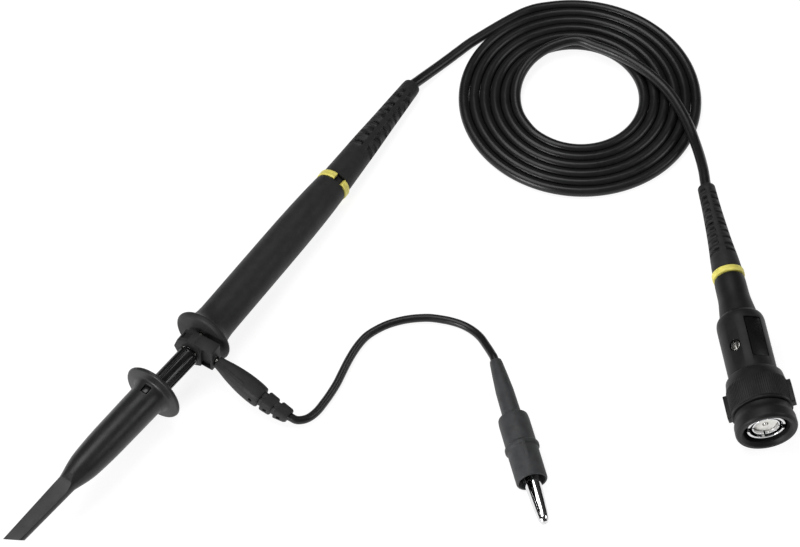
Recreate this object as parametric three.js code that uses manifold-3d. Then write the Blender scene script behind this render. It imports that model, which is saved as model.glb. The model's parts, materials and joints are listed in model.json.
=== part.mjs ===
// Oscilloscope probe: handle with a finger guard, spring-loaded hook tip, ground collar with its lead and
// clip, and a coaxial cable in a flat spiral that ends in a compensation box and a bayonet plug.
// Millimetres, +Z up. The probe head points its tip along -X and lies on z = 0.
import * as THREE from "three";
import { mergeVertices } from "three/addons/utils/BufferGeometryUtils.js";
import Module from "manifold-3d";

const wasm = await Module();
wasm.setup();

// ---- driving dimensions ----
const GAP = 0.3; // left between pieces that touch
const ROUND = 20; // sides of the larger turned pieces
const SMALL = 12; // sides of the small turned pieces

// Probe head. Distances along the probe are counted from the middle of the finger guard, + towards the cable.
const GUARD_X = -13.58;
const GUARD_Y = -0.33;
const GUARD_RADIUS = 9.3;
const TIP_X = -90.4;
const BOOT_START_X = 71;
const BOOT_END_X = 117.3;
const BOOT_END_RADIUS = 2.95;
const BOOT_BEND = THREE.MathUtils.degToRad(1.9);
const LEAN = Math.atan2(GUARD_RADIUS - BOOT_END_RADIUS, BOOT_END_X);
const GUARD_Z = GUARD_RADIUS * Math.cos(LEAN);

// Hook tip: it pushes on to the nose with some play.
const PLAY_X = -18;
const PLAY_ANGLE = THREE.MathUtils.degToRad(-2.8);
const NECK_RADIUS = 3.2;
const NECK_START_X = -8.1;
const NECK_END_X = -36;
const STEM_END_X = -46.5;
const SLEEVE_END_X = -24.2;
const SLEEVE_STOP_X = -50;

// Ground collar and lead.
const COLLAR_FRONT_X = -7.6;
const COLLAR_REAR_X = -2.9;
const COLLAR_MIDDLE_X = (COLLAR_FRONT_X + COLLAR_REAR_X) / 2;
const COLLAR_BLOCK_Y = -8.2;
const COLLAR_ROLL = THREE.MathUtils.degToRad(18);
const PLUG_Z = -0.5;
const PLUG_GAP = 0.9; // clears the edge of the drooping boot
const PLUG_DROOP = THREE.MathUtils.degToRad(12.4);
const PLUG_HEADING = THREE.MathUtils.degToRad(-95);
const PLUG_BEND_FROM = 16; // the strain relief's segments curve towards the lead beyond here
const PLUG_LENGTH = 26.4;
const WIRE_DIAMETER = 2.5;

// Clip on the far end of the lead.
const CLIP_X = 27.8;
const CLIP_Y = -76.4;
const CLIP_Z = 5.15;
const CLIP_DIRECTION = THREE.MathUtils.degToRad(-134);
const CLIP_ROLL = THREE.MathUtils.degToRad(-60);
const CLIP_PIVOT_T = 35;
const CLIP_MOUTH_T = 42.7;
const CLIP_TIP_T = 56.8;

// Cable and its spiral.
const CABLE_DIAMETER = 3.3;
const COIL_X = 128.45;
const COIL_Y = -44.85;
const COIL_INNER_RADIUS = 17.9;
const COIL_OUTER_RADIUS = 39.9;

// Plug unit. Distances along it are counted from the small end of its boot.
const PLUG_UNIT_X = 114.5;
const PLUG_UNIT_Y = -98.6;
const PLUG_UNIT_Z = 9.3;
const PLUG_UNIT_DIRECTION = THREE.MathUtils.degToRad(-139.2);
const BOX_RADIUS = 7.3;
const BOX_START = 49.3;
const BOX_END = 70.4;
const PANEL_ANGLE = THREE.MathUtils.degToRad(20); // from the top, towards the unit's +Y side
const TRIMMER_T = 61.7;
const TRIMMER_ANGLE = THREE.MathUtils.degToRad(-38); // from the top, away from the panel
const SKIRT_END = 89.4;
const WING_ANGLE = THREE.MathUtils.degToRad(16); // the grip's wings stand at this turn off level

// ---- colours ----
function finish(color, roughness, metalness = 0) {
  return new THREE.MeshStandardMaterial({ color, roughness, metalness });
}

const HANDLE = finish(0x151516, 0.6);
const HOOK = finish(0x1b1b1c, 0.42);
const NECK = finish(0x0e0e0f, 0.22);
const RUBBER = finish(0x121213, 0.75);
const JACKET = finish(0x101011, 0.45);
const CLIP_RUBBER = finish(0x2b2b2d, 0.7);
const YELLOW = finish(0xe2d23c, 0.5);
const BOX = finish(0x131314, 0.4);
const CHROME = finish(0xd8d8da, 0.15, 1);
const NICKEL = finish(0xb4b2ac, 0.3, 1);
const BRASS = finish(0xc2a14e, 0.35, 1);
const WHITE = finish(0xe8e6df, 0.5);
const BOARD = finish(0x1d5a34, 0.55);
const RESISTOR = finish(0xc9b68a, 0.5);
const CERAMIC = finish(0xb4602c, 0.6);

// ---- building blocks ----

// A turned piece about X from its outline of [x, radius] points.
function turned(outline, sides = ROUND) {
  const points = outline.map(([x, radius]) => new THREE.Vector2(radius, x));
  return new THREE.LatheGeometry(points, sides).rotateZ(-Math.PI / 2);
}

function rod(x0, x1, radius, sides = SMALL) {
  const outline = [[x0, 0], [x0, radius], [x1, radius], [x1, 0]];
  return turned(outline, sides);
}

function tube(x0, x1, outer, inner, sides = ROUND) {
  const outline = [[x0, inner], [x0, outer], [x1, outer], [x1, inner], [x0, inner]];
  return turned(outline, sides);
}

function block(x0, x1, y0, y1, z0, z1) {
  const shape = new THREE.BoxGeometry(x1 - x0, y1 - y0, z1 - z0);
  return shape.translate((x0 + x1) / 2, (y0 + y1) / 2, (z0 + z1) / 2);
}

// Part of a ring about X, open between its two ends. Angles run from +Y towards +Z.
function openRing(x0, x1, outer, inner, from, to, steps) {
  const shape = new THREE.Shape();
  shape.absarc(0, 0, outer, from, to, false);
  shape.absarc(0, 0, inner, to, from, true);
  const settings = { depth: x1 - x0, bevelEnabled: false, curveSegments: steps };
  const ring = new THREE.ExtrudeGeometry(shape, settings);
  return ring.rotateY(Math.PI / 2).rotateX(Math.PI / 2).translate(x0, 0, 0);
}

// A round wire or cord along a smooth curve through the points.
function cord(points, diameter, steps, sides = 8) {
  const section = new THREE.Shape();
  for (let i = 0; i < sides; i += 1) {
    const angle = (2 * Math.PI * i) / sides;
    const x = (diameter / 2) * Math.cos(angle);
    const y = (diameter / 2) * Math.sin(angle);
    if (i === 0) section.moveTo(x, y);
    else section.lineTo(x, y);
  }
  section.closePath();
  const path = new THREE.CatmullRomCurve3(points.map((p) => new THREE.Vector3(...p)));
  return new THREE.ExtrudeGeometry(section, { steps, bevelEnabled: false, extrudePath: path });
}

function solid(geometry) {
  const bare = geometry.clone();
  bare.deleteAttribute("normal");
  bare.deleteAttribute("uv");
  const merged = mergeVertices(bare, 1e-4);
  return new wasm.Manifold(
    new wasm.Mesh({
      numProp: 3,
      vertProperties: merged.attributes.position.array,
      triVerts: new Uint32Array(merged.index.array),
    }),
  );
}

function geometryOf(manifold) {
  const mesh = manifold.getMesh();
  const geometry = new THREE.BufferGeometry();
  geometry.setAttribute("position", new THREE.BufferAttribute(new Float32Array(mesh.vertProperties), 3));
  geometry.setIndex(new THREE.BufferAttribute(new Uint32Array(mesh.triVerts), 1));
  geometry.computeVertexNormals();
  return geometry;
}

function cut(base, ...tools) {
  let result = solid(base);
  for (const tool of tools) result = result.subtract(solid(tool));
  return geometryOf(result);
}

function join(base, ...others) {
  let result = solid(base);
  for (const other of others) result = result.add(solid(other));
  return geometryOf(result);
}

function add(group, name, geometry, material) {
  const mesh = new THREE.Mesh(geometry, material);
  mesh.name = name;
  group.add(mesh);
  return mesh;
}

function groupAt(parent, x, y, z) {
  const group = new THREE.Group();
  group.position.set(x, y, z);
  parent.add(group);
  return group;
}

// ---- probe head ----

function handleShell() {
  return turned([
    [-1.2, 2.95], [-1.2, 8.7], [0, GUARD_RADIUS], [1, 9], [2.4, 7.35], [3.8, 6.5], [6, 6.05],
    [10, 5.98], [44, 5.92], [59, 5.62], [68.1, 5.2], [68.1, 4.7], [3, 4.7], [3, 2.95], [-1.2, 2.95],
  ]);
}

function noseBarrel() {
  return turned([
    [-22, 0.85], [-22, 1.4], [-21.4, 1.75], [8, 1.75], [8, 4.3], [14, 4.3], [14, 0.85], [-22, 0.85],
  ]);
}

function tipNeedle() {
  return turned([[-27, 0], [-26.6, 0.18], [-24.5, 0.45], [10, 0.45], [10, 0]], SMALL);
}

function attenuatorResistor() {
  return turned([
    [14.4, 0], [14.4, 0.3], [18.5, 0.3], [18.7, 1.4], [19.6, 1.6], [32.4, 1.6], [33.3, 1.4],
    [33.5, 0.3], [38, 0.3], [38, 0],
  ], SMALL);
}

function tailBush() {
  return turned([
    [60, 2.2], [60, 4.35], [66, 4.35], [66, 3.6], [80, 3.6], [80, 2.2], [60, 2.2],
  ]);
}

function probeBoot() {
  const length = BOOT_END_X - BOOT_START_X;
  return turned([
    [0, 3.9], [0, 4.9], [10, 4.5], [30, 3.5], [38, 3.2], [45.2, 2.95], [length, 2.3],
    [length, 1.85], [10.3, 1.85], [10.3, 3.9], [0, 3.9],
  ]);
}

function buildHead(head) {
  add(head, "handle_shell", handleShell(), HANDLE);
  add(head, "nose_barrel", noseBarrel(), NECK);
  add(head, "ground_sleeve", tube(-7.6, 7.6, 2.55, 2.1), NICKEL);
  add(head, "tip_needle", tipNeedle(), NICKEL);
  add(head, "attenuator_resistor", attenuatorResistor(), RESISTOR);
  add(head, "attenuator_capacitor", block(40.5, 44, -1.6, 1.6, -1.7, 1.6), CERAMIC);
  add(head, "head_board", block(15, 58, -2.6, 2.6, -2.8, -2.1), BOARD);
  add(head, "shield_tube", tube(14.5, 59.5, 4.35, 4.05), BRASS);
  add(head, "tail_bush", tailBush(), HANDLE);
  add(head, "cable_ferrule", tube(61, 72, 1.85, 1.3, SMALL), NICKEL);
  const ringGap = THREE.MathUtils.degToRad(17);
  const ringMiddle = THREE.MathUtils.degToRad(118);
  const ringEnd = ringMiddle - ringGap + 2 * Math.PI;
  const marker = openRing(68.4, 70.7, 5.42, 4.0, ringMiddle + ringGap, ringEnd, 24);
  add(head, "marker_ring_probe", marker, YELLOW);
  const boot = groupAt(head, BOOT_START_X, 0, 0);
  boot.rotation.z = BOOT_BEND;
  add(boot, "boot_probe", probeBoot(), RUBBER);
}

// ---- hook tip ----

function hookCarrier() {
  return turned([
    [NECK_START_X, 2.4], [-24.3, 2.4], [-24.3, 1.4], [-34.3, 1.4], [-34.3, 0.75], [STEM_END_X, 0.75],
    [STEM_END_X, 1.5], [NECK_END_X, 1.5], [NECK_END_X, NECK_RADIUS], [NECK_START_X, NECK_RADIUS],
    [NECK_START_X, 2.4],
  ]);
}

function hookWire() {
  const bend = 0.62;
  const points = [[-34.7, 0, 0], [-60, 0, 0], [-85.2, 0, 0]];
  for (let step = 1; step <= 4; step += 1) {
    const angle = (Math.PI * step) / 4;
    points.push([-85.2 - bend * Math.sin(angle), bend - bend * Math.cos(angle), 0]);
  }
  return cord(points, 0.7, 24, 6);
}

function hookSpring() {
  const turns = 6;
  const points = [];
  for (let i = 0; i <= turns * 8; i += 1) {
    const share = i / (turns * 8);
    const angle = 2 * Math.PI * turns * share;
    const x = THREE.MathUtils.lerp(NECK_END_X - 0.6, SLEEVE_STOP_X + 0.6, share);
    points.push([x, 2.3 * Math.cos(angle), 2.3 * Math.sin(angle)]);
  }
  return cord(points, 0.5, turns * 8, 5);
}

function hookSleeve() {
  const shell = turned([
    [TIP_X, 0], [TIP_X, 2.3], [-64.5, 2.85], [-62.5, 3.3], [-60.5, 3.8], [-58, 4.3], [-55, 4.65],
    [-48, 5], [-29.6, 5.3], [-27, 5.5], [-25.9, 6.3], [-25.5, 9.25], [-24.9, 9.6],
    [SLEEVE_END_X, 8.9], [SLEEVE_END_X, 0],
  ]);
  const bore = turned([
    [-58, 0], [-58, 1.9], [SLEEVE_STOP_X, 1.9], [SLEEVE_STOP_X, 3.5], [SLEEVE_END_X + 1, 3.5],
    [SLEEVE_END_X + 1, 0],
  ]);
  const channel = block(TIP_X - 1, -57.5, -1.6, 1.6, -0.75, 0.75);
  const flatTop = block(TIP_X - 1, -66, -4, 4, 1.3, 6);
  const flatBottom = block(TIP_X - 1, -66, -4, 4, -6, -1.7);
  const window = block(-29.6, -26.8, -1.2, 1.2, 2, 6);
  const slant = block(-8, 0, -8, 8, -8, 8).rotateY(-0.6).rotateZ(0.55).translate(TIP_X + 2.3, 0, 0);
  return cut(shell, bore, channel, flatTop, flatBottom, window, slant);
}

function buildHook(head) {
  const hook = groupAt(head, PLAY_X, 0, 0);
  hook.rotation.z = PLAY_ANGLE;
  const tip = groupAt(hook, -PLAY_X, 0, 0);
  add(tip, "hook_carrier", hookCarrier(), NECK);
  add(tip, "needle_contact", rod(-34, -28.1, 1), BRASS);
  add(tip, "hook_wire", hookWire(), NICKEL);
  add(tip, "hook_spring", hookSpring(), NICKEL);
  add(tip, "hook_sleeve", hookSleeve(), HOOK);
  add(tip, "sleeve_latch", block(-29.3, -27.1, -0.9, 0.9, 3.75, 5.15), NECK);
}

// ---- ground collar and lead ----

function groundCollar() {
  const ring = new THREE.CylinderGeometry(5.45, 5.45, COLLAR_REAR_X - COLLAR_FRONT_X, 8);
  ring.rotateZ(Math.PI / 2).rotateX(Math.PI / 8 + COLLAR_ROLL).translate(COLLAR_MIDDLE_X, 0, 0);
  const arm = block(COLLAR_FRONT_X, COLLAR_REAR_X, COLLAR_BLOCK_Y, -1, -3.1, 5.2);
  const bore = rod(COLLAR_FRONT_X - 1, COLLAR_REAR_X + 1, 3.45, ROUND);
  const pocket = block(-6.5, -4, -1.5, 1.5, 4.3, 7).rotateX(COLLAR_ROLL - Math.PI / 4);
  const hole = plugTurned([[-1, 0], [-1, 1.35], [6, 1.35], [6, 0]], -5.2);
  return cut(join(ring, arm), bore, pocket, hole);
}

// A turned piece about the plug's own drooping axis, moved along it by the offset.
function plugTurned(outline, offset) {
  const piece = turned(outline, 16).translate(offset, 0, 0);
  piece.rotateY(PLUG_DROOP).rotateZ(PLUG_HEADING);
  return piece.translate(COLLAR_MIDDLE_X, COLLAR_BLOCK_Y - PLUG_GAP, PLUG_Z);
}

function plugBoot() {
  const boot = turned([
    [0, 1.2], [0, 1.8], [1.5, 2.1], [5, 2.7], [9, 3.2], [12.5, 3.4], [15, 3.3], [16.8, 3.05],
    [17, 2.3], [17.8, 2.3], [18, 3], [21.4, 2.75], [21.6, 2.1], [22.4, 2.1], [22.6, 2.65],
    [PLUG_LENGTH, 2.2], [PLUG_LENGTH, 0], [13.5, 0], [13.5, 1.2], [0, 1.2],
  ], 16);
  const spots = boot.attributes.position;
  for (let i = 0; i < spots.count; i += 1) {
    const beyond = Math.max(0, spots.getX(i) - PLUG_BEND_FROM);
    spots.setY(i, spots.getY(i) + 0.01 * beyond * beyond);
  }
  boot.rotateY(PLUG_DROOP).rotateZ(PLUG_HEADING);
  return boot.translate(COLLAR_MIDDLE_X, COLLAR_BLOCK_Y - PLUG_GAP, PLUG_Z);
}

function leadWire() {
  const points = [
    [-20.27, -35.7, 3.36], [-19.75, -37.7, 2.75], [-17.4, -39.6, 2.2], [-13.8, -40.4, 1.7], [-9.7, -40.4, 1.4],
    [-5.8, -40.2, 1.3], [-2, -39.8, 1.25], [1.8, -39.1, 1.25], [5.6, -38.4, 1.25], [9.3, -37.9, 1.25],
    [13.1, -37.7, 1.25], [16.7, -38, 1.25], [20, -39.1, 1.25], [23.2, -40.7, 1.25], [26, -42.7, 1.25],
    [28.5, -45, 1.25], [30.7, -47.6, 1.25], [32.6, -50.4, 1.25], [34, -53.5, 1.25], [35.1, -56.7, 1.25],
    [35.7, -60, 1.3], [35.5, -63.5, 1.6], [34.3, -67.1, 2.3], [32.1, -70.6, 3.4], [29.7, -74, 4.6],
    [28, -76.1, 5.1],
  ];
  return cord(points, WIRE_DIAMETER, 40);
}

// One half of the clip's tapered snout, above (side 1) or below (side -1) the plane where the jaws meet.
function clipJaw(side) {
  const rear = side > 0 ? CLIP_PIVOT_T - 6 : CLIP_PIVOT_T - 1.5;
  const cone = turned([
    [rear, 0], [rear, 2.45], [CLIP_MOUTH_T, 2.45], [50, 2.05], [54.8, 1.7], [56.2, 1.45], [CLIP_TIP_T, 0.8],
    [CLIP_TIP_T, 0],
  ], 16);
  const bore = turned([
    [rear - 1, 0], [rear - 1, 2], [CLIP_MOUTH_T, 2], [50, 1.6], [54.6, 1.2], [54.6, 0],
  ], 16);
  const otherHalf = block(rear - 1, CLIP_TIP_T + 1, -4, 4, -4, GAP / 2);
  if (side < 0) otherHalf.rotateX(Math.PI);
  const pinHole = rod(-4, 4, 0.85).rotateZ(Math.PI / 2).translate(CLIP_PIVOT_T, 0, 0);
  return cut(cone, bore, otherHalf, pinHole);
}

function clipBoot() {
  return turned([
    [20, 0], [20, 3.9], [20.8, 4.55], [22, 4.65], [30.2, 4.65], [30.6, 5.15], [32, 5.15], [32.4, 4.65],
    [42.3, 4.65], [CLIP_MOUTH_T, 4.45], [CLIP_MOUTH_T, 3.95], [22, 3.95], [22, 0],
  ]);
}

function buildLead(whole, head) {
  add(head, "ground_collar", groundCollar(), HANDLE);
  const contactFrom = THREE.MathUtils.degToRad(-40);
  const contactTo = THREE.MathUtils.degToRad(220);
  add(head, "collar_contact", openRing(-6.8, -3.6, 3.1, 2.85, contactFrom, contactTo, 16), NICKEL);
  add(head, "plug_pin", plugTurned([[0, 0], [0, 0.85], [15.5, 0.85], [15.5, 0]], -3.6), NICKEL);
  add(head, "plug_boot", plugBoot(), RUBBER);
  add(whole, "lead_wire", leadWire(), JACKET);

  const clip = groupAt(whole, CLIP_X, CLIP_Y, CLIP_Z);
  clip.rotation.z = CLIP_DIRECTION;
  const rolled = groupAt(clip, 0, 0, 0);
  rolled.rotation.x = CLIP_ROLL;
  const tail = turned([[0, 0], [0, 1.75], [1, 1.9], [5, 2.25], [11, 2.7], [19.7, 2.85], [19.7, 0]], 16);
  add(rolled, "clip_tail_sleeve", tail, CLIP_RUBBER);
  add(rolled, "clip_boot", clipBoot(), CLIP_RUBBER);
  add(rolled, "clip_fixed_jaw", clipJaw(1), CHROME);
  add(rolled, "clip_crimp", tube(23, 28, 1.6, 1.1, SMALL), CHROME);
  const pin = rod(-3, 3, 0.5).rotateZ(Math.PI / 2).translate(CLIP_PIVOT_T, 0, 0);
  add(rolled, "clip_pivot_pin", pin, NICKEL);
  const spring = tube(-1, 1, 1.3, 0.8, SMALL).rotateZ(Math.PI / 2).translate(CLIP_PIVOT_T, 0, 0);
  add(rolled, "clip_spring", spring, NICKEL);
  add(rolled, "clip_moving_jaw", clipJaw(-1), CHROME);
}

// ---- cable ----

function cableStart() {
  const points = [
    [103.6, 1.2, 2.95], [105.5, 1.1, 2.75], [109, 0.6, 2.35], [113, -0.3, 2], [117, -1.3, 1.75],
    [121, -2.3, 1.65], [124.5, -3.2, 1.65],
  ];
  return cord(points, CABLE_DIAMETER, 12);
}

function cableEnd() {
  const points = [
    [146, -33.8, 5.2], [147.4, -40.7, 5.2], [148.1, -48, 5.2], [147.7, -55, 5.2], [146.2, -62.3, 5.2],
    [143.5, -69.3, 5.2], [139.7, -75.4, 5.25], [135.4, -80.9, 5.4], [130.5, -85.9, 5.9], [125.4, -90.4, 7.2],
    [120.1, -94.6, 8.6], [114.8, -98.4, 9.25],
  ];
  return cord(points, CABLE_DIAMETER, 24);
}

function cableCoil() {
  const ring = tube(0, CABLE_DIAMETER, COIL_OUTER_RADIUS, COIL_INNER_RADIUS, 32);
  return ring.rotateY(-Math.PI / 2).translate(COIL_X, COIL_Y, 0);
}

function buildCable(whole) {
  add(whole, "cable_start", cableStart(), JACKET);
  add(whole, "cable_coil", cableCoil(), JACKET);
  add(whole, "cable_end", cableEnd(), JACKET);
}

// ---- plug unit ----

function plugUnitBoot() {
  return turned([
    [0, 1.9], [0, 2.3], [0.8, 2.7], [8, 2.9], [15, 3.25], [21, 3.68], [28, 4.32], [32.2, 4.6], [32.2, 3.3],
    [24, 3.3], [24, 1.9], [0, 1.9],
  ]);
}

function flaredNeck() {
  return turned([
    [24.5, 2.2], [24.5, 2.95], [34.8, 2.95], [34.8, 4.65], [37, 4.75], [42, 4.85], [45, 5.2],
    [49, 5.72], [49, 2.2], [24.5, 2.2],
  ]);
}

// A piece turned about its own radial axis, which leaves the unit's axis at an angle from the top.
function radial(piece, angle, t) {
  return piece.rotateY(-Math.PI / 2).rotateX(-angle).translate(t, 0, 0);
}

function compensationBox() {
  const shell = turned([
    [BOX_START, 2.3], [BOX_START, 5.8], [49.7, 6.7], [50.4, 7.1], [51.4, BOX_RADIUS], [BOX_END, BOX_RADIUS],
    [BOX_END, 6.8], [68.6, 6.8], [68.6, 5.7], [50.6, 5.7], [50.6, 2.3], [BOX_START, 2.3],
  ]);
  const panelSeat = block(53, 67, -2.8, 2.8, 6.2, 9).rotateX(-PANEL_ANGLE);
  const trimmerHole = radial(rod(4, 9, 1.85, 16), TRIMMER_ANGLE, TRIMMER_T);
  return cut(shell, panelSeat, trimmerHole);
}

function trimmerScrew() {
  const slot = block(6.3, 7.5, -0.25, 0.25, -2, 2);
  return radial(cut(rod(5.3, 6.95, 1.5, 16), slot), TRIMMER_ANGLE, TRIMMER_T);
}

function contactSleeve() {
  const across = block(82, 90, -0.3, 0.3, -5, 5);
  const upright = block(82, 90, -5, 5, -0.3, 0.3);
  return cut(tube(79.8, 87.4, 4.15, 3.7), across, upright);
}

function bayonetNut() {
  const body = turned([
    [71.7, 4.95], [71.7, 6.6], [73.2, 6.6], [73.2, 5.75], [87.8, 5.75], [87.8, 4.95], [71.7, 4.95],
  ]);
  const entry = block(85.5, 89, -7, 7, -1.1, 1.1);
  return cut(body, entry);
}

function knurledGrip() {
  const body = turned([
    [70.7, 6.9], [70.7, 8.1], [71.3, 8.7], [74, 9.1], [82.6, 9.1], [82.6, 6.9], [70.7, 6.9],
  ], 24);
  const wings = block(74.5, 82.2, -10.2, 10.2, -1.7, 1.7).rotateX(WING_ANGLE);
  const inside = rod(68, 84, 7.6, 24);
  return join(body, cut(wings, inside));
}

function frontSkirt() {
  return turned([
    [82.9, 6.1], [82.9, 8.5], [84, 8.55], [85.6, 9.2], [88.6, 9.25], [SKIRT_END, 8.7],
    [SKIRT_END, 7.7], [88.3, 6.8], [84, 6.8], [84, 6.1], [82.9, 6.1],
  ], 24);
}

function buildPlugUnit(whole) {
  const unit = groupAt(whole, PLUG_UNIT_X, PLUG_UNIT_Y, PLUG_UNIT_Z);
  unit.rotation.z = PLUG_UNIT_DIRECTION;
  add(unit, "boot_plug", plugUnitBoot(), RUBBER);
  add(unit, "marker_ring_plug", tube(32.5, 34.5, 4.95, 3.3), YELLOW);
  add(unit, "flared_neck", flaredNeck(), BOX);
  add(unit, "compensation_box", compensationBox(), BOX);
  const panel = block(53.3, 66.7, -2.4, 2.4, 6.5, 6.8).rotateX(-PANEL_ANGLE);
  add(unit, "plain_panel", panel, BOX);
  add(unit, "box_board", block(52, 67.5, -4, 4, -1.4, -0.6), BOARD);
  add(unit, "box_resistor", rod(54, 60, 1).translate(0, 2, 0.8), RESISTOR);
  add(unit, "trimmer_body", radial(rod(1.6, 5, 1.9, 16), TRIMMER_ANGLE, TRIMMER_T), CERAMIC);
  add(unit, "trimmer_screw", trimmerScrew(), NICKEL);
  const body = turned([
    [68.9, 3.6], [68.9, 6.5], [70.4, 6.5], [70.4, 4.6], [79.5, 4.6], [79.5, 3.6], [68.9, 3.6],
  ]);
  add(unit, "plug_body", body, NICKEL);
  add(unit, "contact_sleeve", contactSleeve(), CHROME);
  add(unit, "plug_insulator", tube(72, 86.4, 3.4, 0.95), WHITE);
  const pin = turned([[70, 0], [70, 0.65], [86.2, 0.65], [86.8, 0.25], [86.8, 0]], SMALL);
  add(unit, "centre_pin", pin, NICKEL);
  add(unit, "plug_gasket", tube(80, 81, 4.75, 4.4), RUBBER);
  add(unit, "wave_washer", tube(70.7, 71.3, 6.4, 4.95), NICKEL);
  add(unit, "bayonet_nut", bayonetNut(), CHROME);
  add(unit, "knurled_grip", knurledGrip(), BOX);
  add(unit, "front_skirt", frontSkirt(), BOX);
}

// ---- the whole probe ----

const whole = new THREE.Group();
const head = groupAt(whole, GUARD_X, GUARD_Y, GUARD_Z);
head.rotation.y = LEAN;
buildHead(head);
buildHook(head);
buildLead(whole, head);
buildCable(whole);
buildPlugUnit(whole);

export default whole;
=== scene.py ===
"""The looks of an oscilloscope probe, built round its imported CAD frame.

Shapes are drawn in millimetres in the frame of the part they belong to, and show() moves them into the
row frame in metres, where each stands for the CAD node it is named after.
"""
import json
import math

import bmesh
import bpy
from mathutils import Matrix, Vector


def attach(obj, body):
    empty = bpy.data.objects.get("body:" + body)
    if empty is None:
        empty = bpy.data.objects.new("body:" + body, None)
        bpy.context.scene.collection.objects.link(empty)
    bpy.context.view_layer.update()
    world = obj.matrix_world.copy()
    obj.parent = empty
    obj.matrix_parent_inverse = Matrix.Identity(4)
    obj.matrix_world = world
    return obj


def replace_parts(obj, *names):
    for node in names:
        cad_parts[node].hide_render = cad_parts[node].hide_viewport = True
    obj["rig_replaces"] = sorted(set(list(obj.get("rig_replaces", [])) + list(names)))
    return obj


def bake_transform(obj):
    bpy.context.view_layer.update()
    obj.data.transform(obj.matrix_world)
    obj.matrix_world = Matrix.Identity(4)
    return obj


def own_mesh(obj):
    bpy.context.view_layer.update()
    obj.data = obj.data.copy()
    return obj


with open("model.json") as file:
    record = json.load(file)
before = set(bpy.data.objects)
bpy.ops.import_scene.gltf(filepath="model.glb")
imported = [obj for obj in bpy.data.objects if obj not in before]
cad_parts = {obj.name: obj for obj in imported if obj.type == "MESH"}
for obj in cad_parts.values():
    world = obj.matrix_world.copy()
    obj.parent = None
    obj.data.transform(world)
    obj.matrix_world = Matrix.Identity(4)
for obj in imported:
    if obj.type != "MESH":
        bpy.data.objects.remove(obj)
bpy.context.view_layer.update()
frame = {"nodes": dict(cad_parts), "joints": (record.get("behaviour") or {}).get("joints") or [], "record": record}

record = frame["record"]
JOINTS = {joint["name"]: joint for joint in frame["joints"]}
MOUNTS = {mount["name"]: mount for mount in record["mounts"]}
SLOT_OF = {part["node"]: part["material_slot"] for part in record["subparts"]}
BODY_OF = {node: body for body, nodes in record["behaviour"]["bodies"].items() for node in nodes}
MM = 0.001


# ---- places: each matrix takes millimetres in a part's own frame to metres in the row frame ----

def frame_of(origin, along, up):
    x_axis = Vector(along).normalized()
    y_axis = Vector(up).cross(x_axis).normalized()
    z_axis = x_axis.cross(y_axis)
    turn = Matrix((x_axis, y_axis, z_axis)).transposed().to_4x4()
    return Matrix.Translation(Vector(origin)) @ turn @ Matrix.Scale(MM, 4)


def from_joint(joint, distance, along, up):
    """A frame whose origin lies that many millimetres behind the joint's point."""
    direction = Vector(along).normalized()
    return frame_of(Vector(joint["pos_m"]) - direction * distance * MM, along, up)


UP = Vector((0, 0, 1))
COLLAR_MIDDLE = -5.25
swivel = JOINTS["ground_collar_swivel"]
HEAD = from_joint(swivel, COLLAR_MIDDLE, -Vector(swivel["axis"]), UP)
HOOK = HEAD @ Matrix.Translation((-18, 0, 0)) @ Matrix.Rotation(math.radians(-2.8), 4, "Z")
HOOK = HOOK @ Matrix.Translation((18, 0, 0))
BOOT = HEAD @ Matrix.Translation((71, 0, 0)) @ Matrix.Rotation(math.radians(1.9), 4, "Z")
LEAD_PLUG = HEAD @ Matrix.Translation((COLLAR_MIDDLE, -9.1, -0.5))
LEAD_PLUG = LEAD_PLUG @ Matrix.Rotation(math.radians(-95), 4, "Z")
LEAD_PLUG = LEAD_PLUG @ Matrix.Rotation(math.radians(12.4), 4, "Y")
CLIP_PIVOT = 35
clip_hinge = JOINTS["clip_jaw_hinge"]
clip_along = Vector(MOUNTS["clip_jaws"]["axis"])
clip_up = clip_along.cross(Vector(clip_hinge["axis"]))
CLIP = from_joint(clip_hinge, CLIP_PIVOT, clip_along, clip_up)
NUT_MIDDLE = 80
bayonet = JOINTS["bayonet_turn"]
PLUG = from_joint(bayonet, NUT_MIDDLE, bayonet["axis"], UP)


# ---- camera, floor and light ----

def aim(thing, target):
    direction = Vector(target) - thing.location
    thing.rotation_euler = direction.to_track_quat("-Z", "Y").to_euler()


def add_camera():
    camera = bpy.data.objects.new("camera", bpy.data.cameras.new("camera"))
    camera.data.lens = 135
    camera.data.sensor_width = 36
    camera.data.clip_end = 10
    camera.location = (-0.3979, -0.3161, 0.7469)
    aim(camera, (0.0422, -0.0336, 0))
    bpy.context.scene.collection.objects.link(camera)
    bpy.context.scene.camera = camera


def add_light(name, location, target, width, height, power):
    light = bpy.data.lights.new(name, "AREA")
    light.shape = "RECTANGLE"
    light.size = width
    light.size_y = height
    light.energy = power
    lamp = bpy.data.objects.new(name, light)
    lamp.location = location
    bpy.context.scene.collection.objects.link(lamp)
    bpy.context.view_layer.update()
    aim(lamp, target)


def add_floor():
    mesh = bpy.data.meshes.new("floor")
    reach = 3
    mesh.from_pydata([(-reach, -reach, 0), (reach, -reach, 0), (reach, reach, 0), (-reach, reach, 0)], [],
                     [(0, 1, 2, 3)])
    floor = bpy.data.objects.new("floor", mesh)
    bpy.context.scene.collection.objects.link(floor)
    material = bpy.data.materials.new("floor")
    material.use_nodes = True
    shader = material.node_tree.nodes["Principled BSDF"]
    shader.inputs["Base Color"].default_value = (0.22, 0.22, 0.22, 1)
    shader.inputs["Roughness"].default_value = 0.9
    shader.inputs["Emission Color"].default_value = (1, 1, 1, 1)
    shader.inputs["Emission Strength"].default_value = 0.88
    mesh.materials.append(material)


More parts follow.
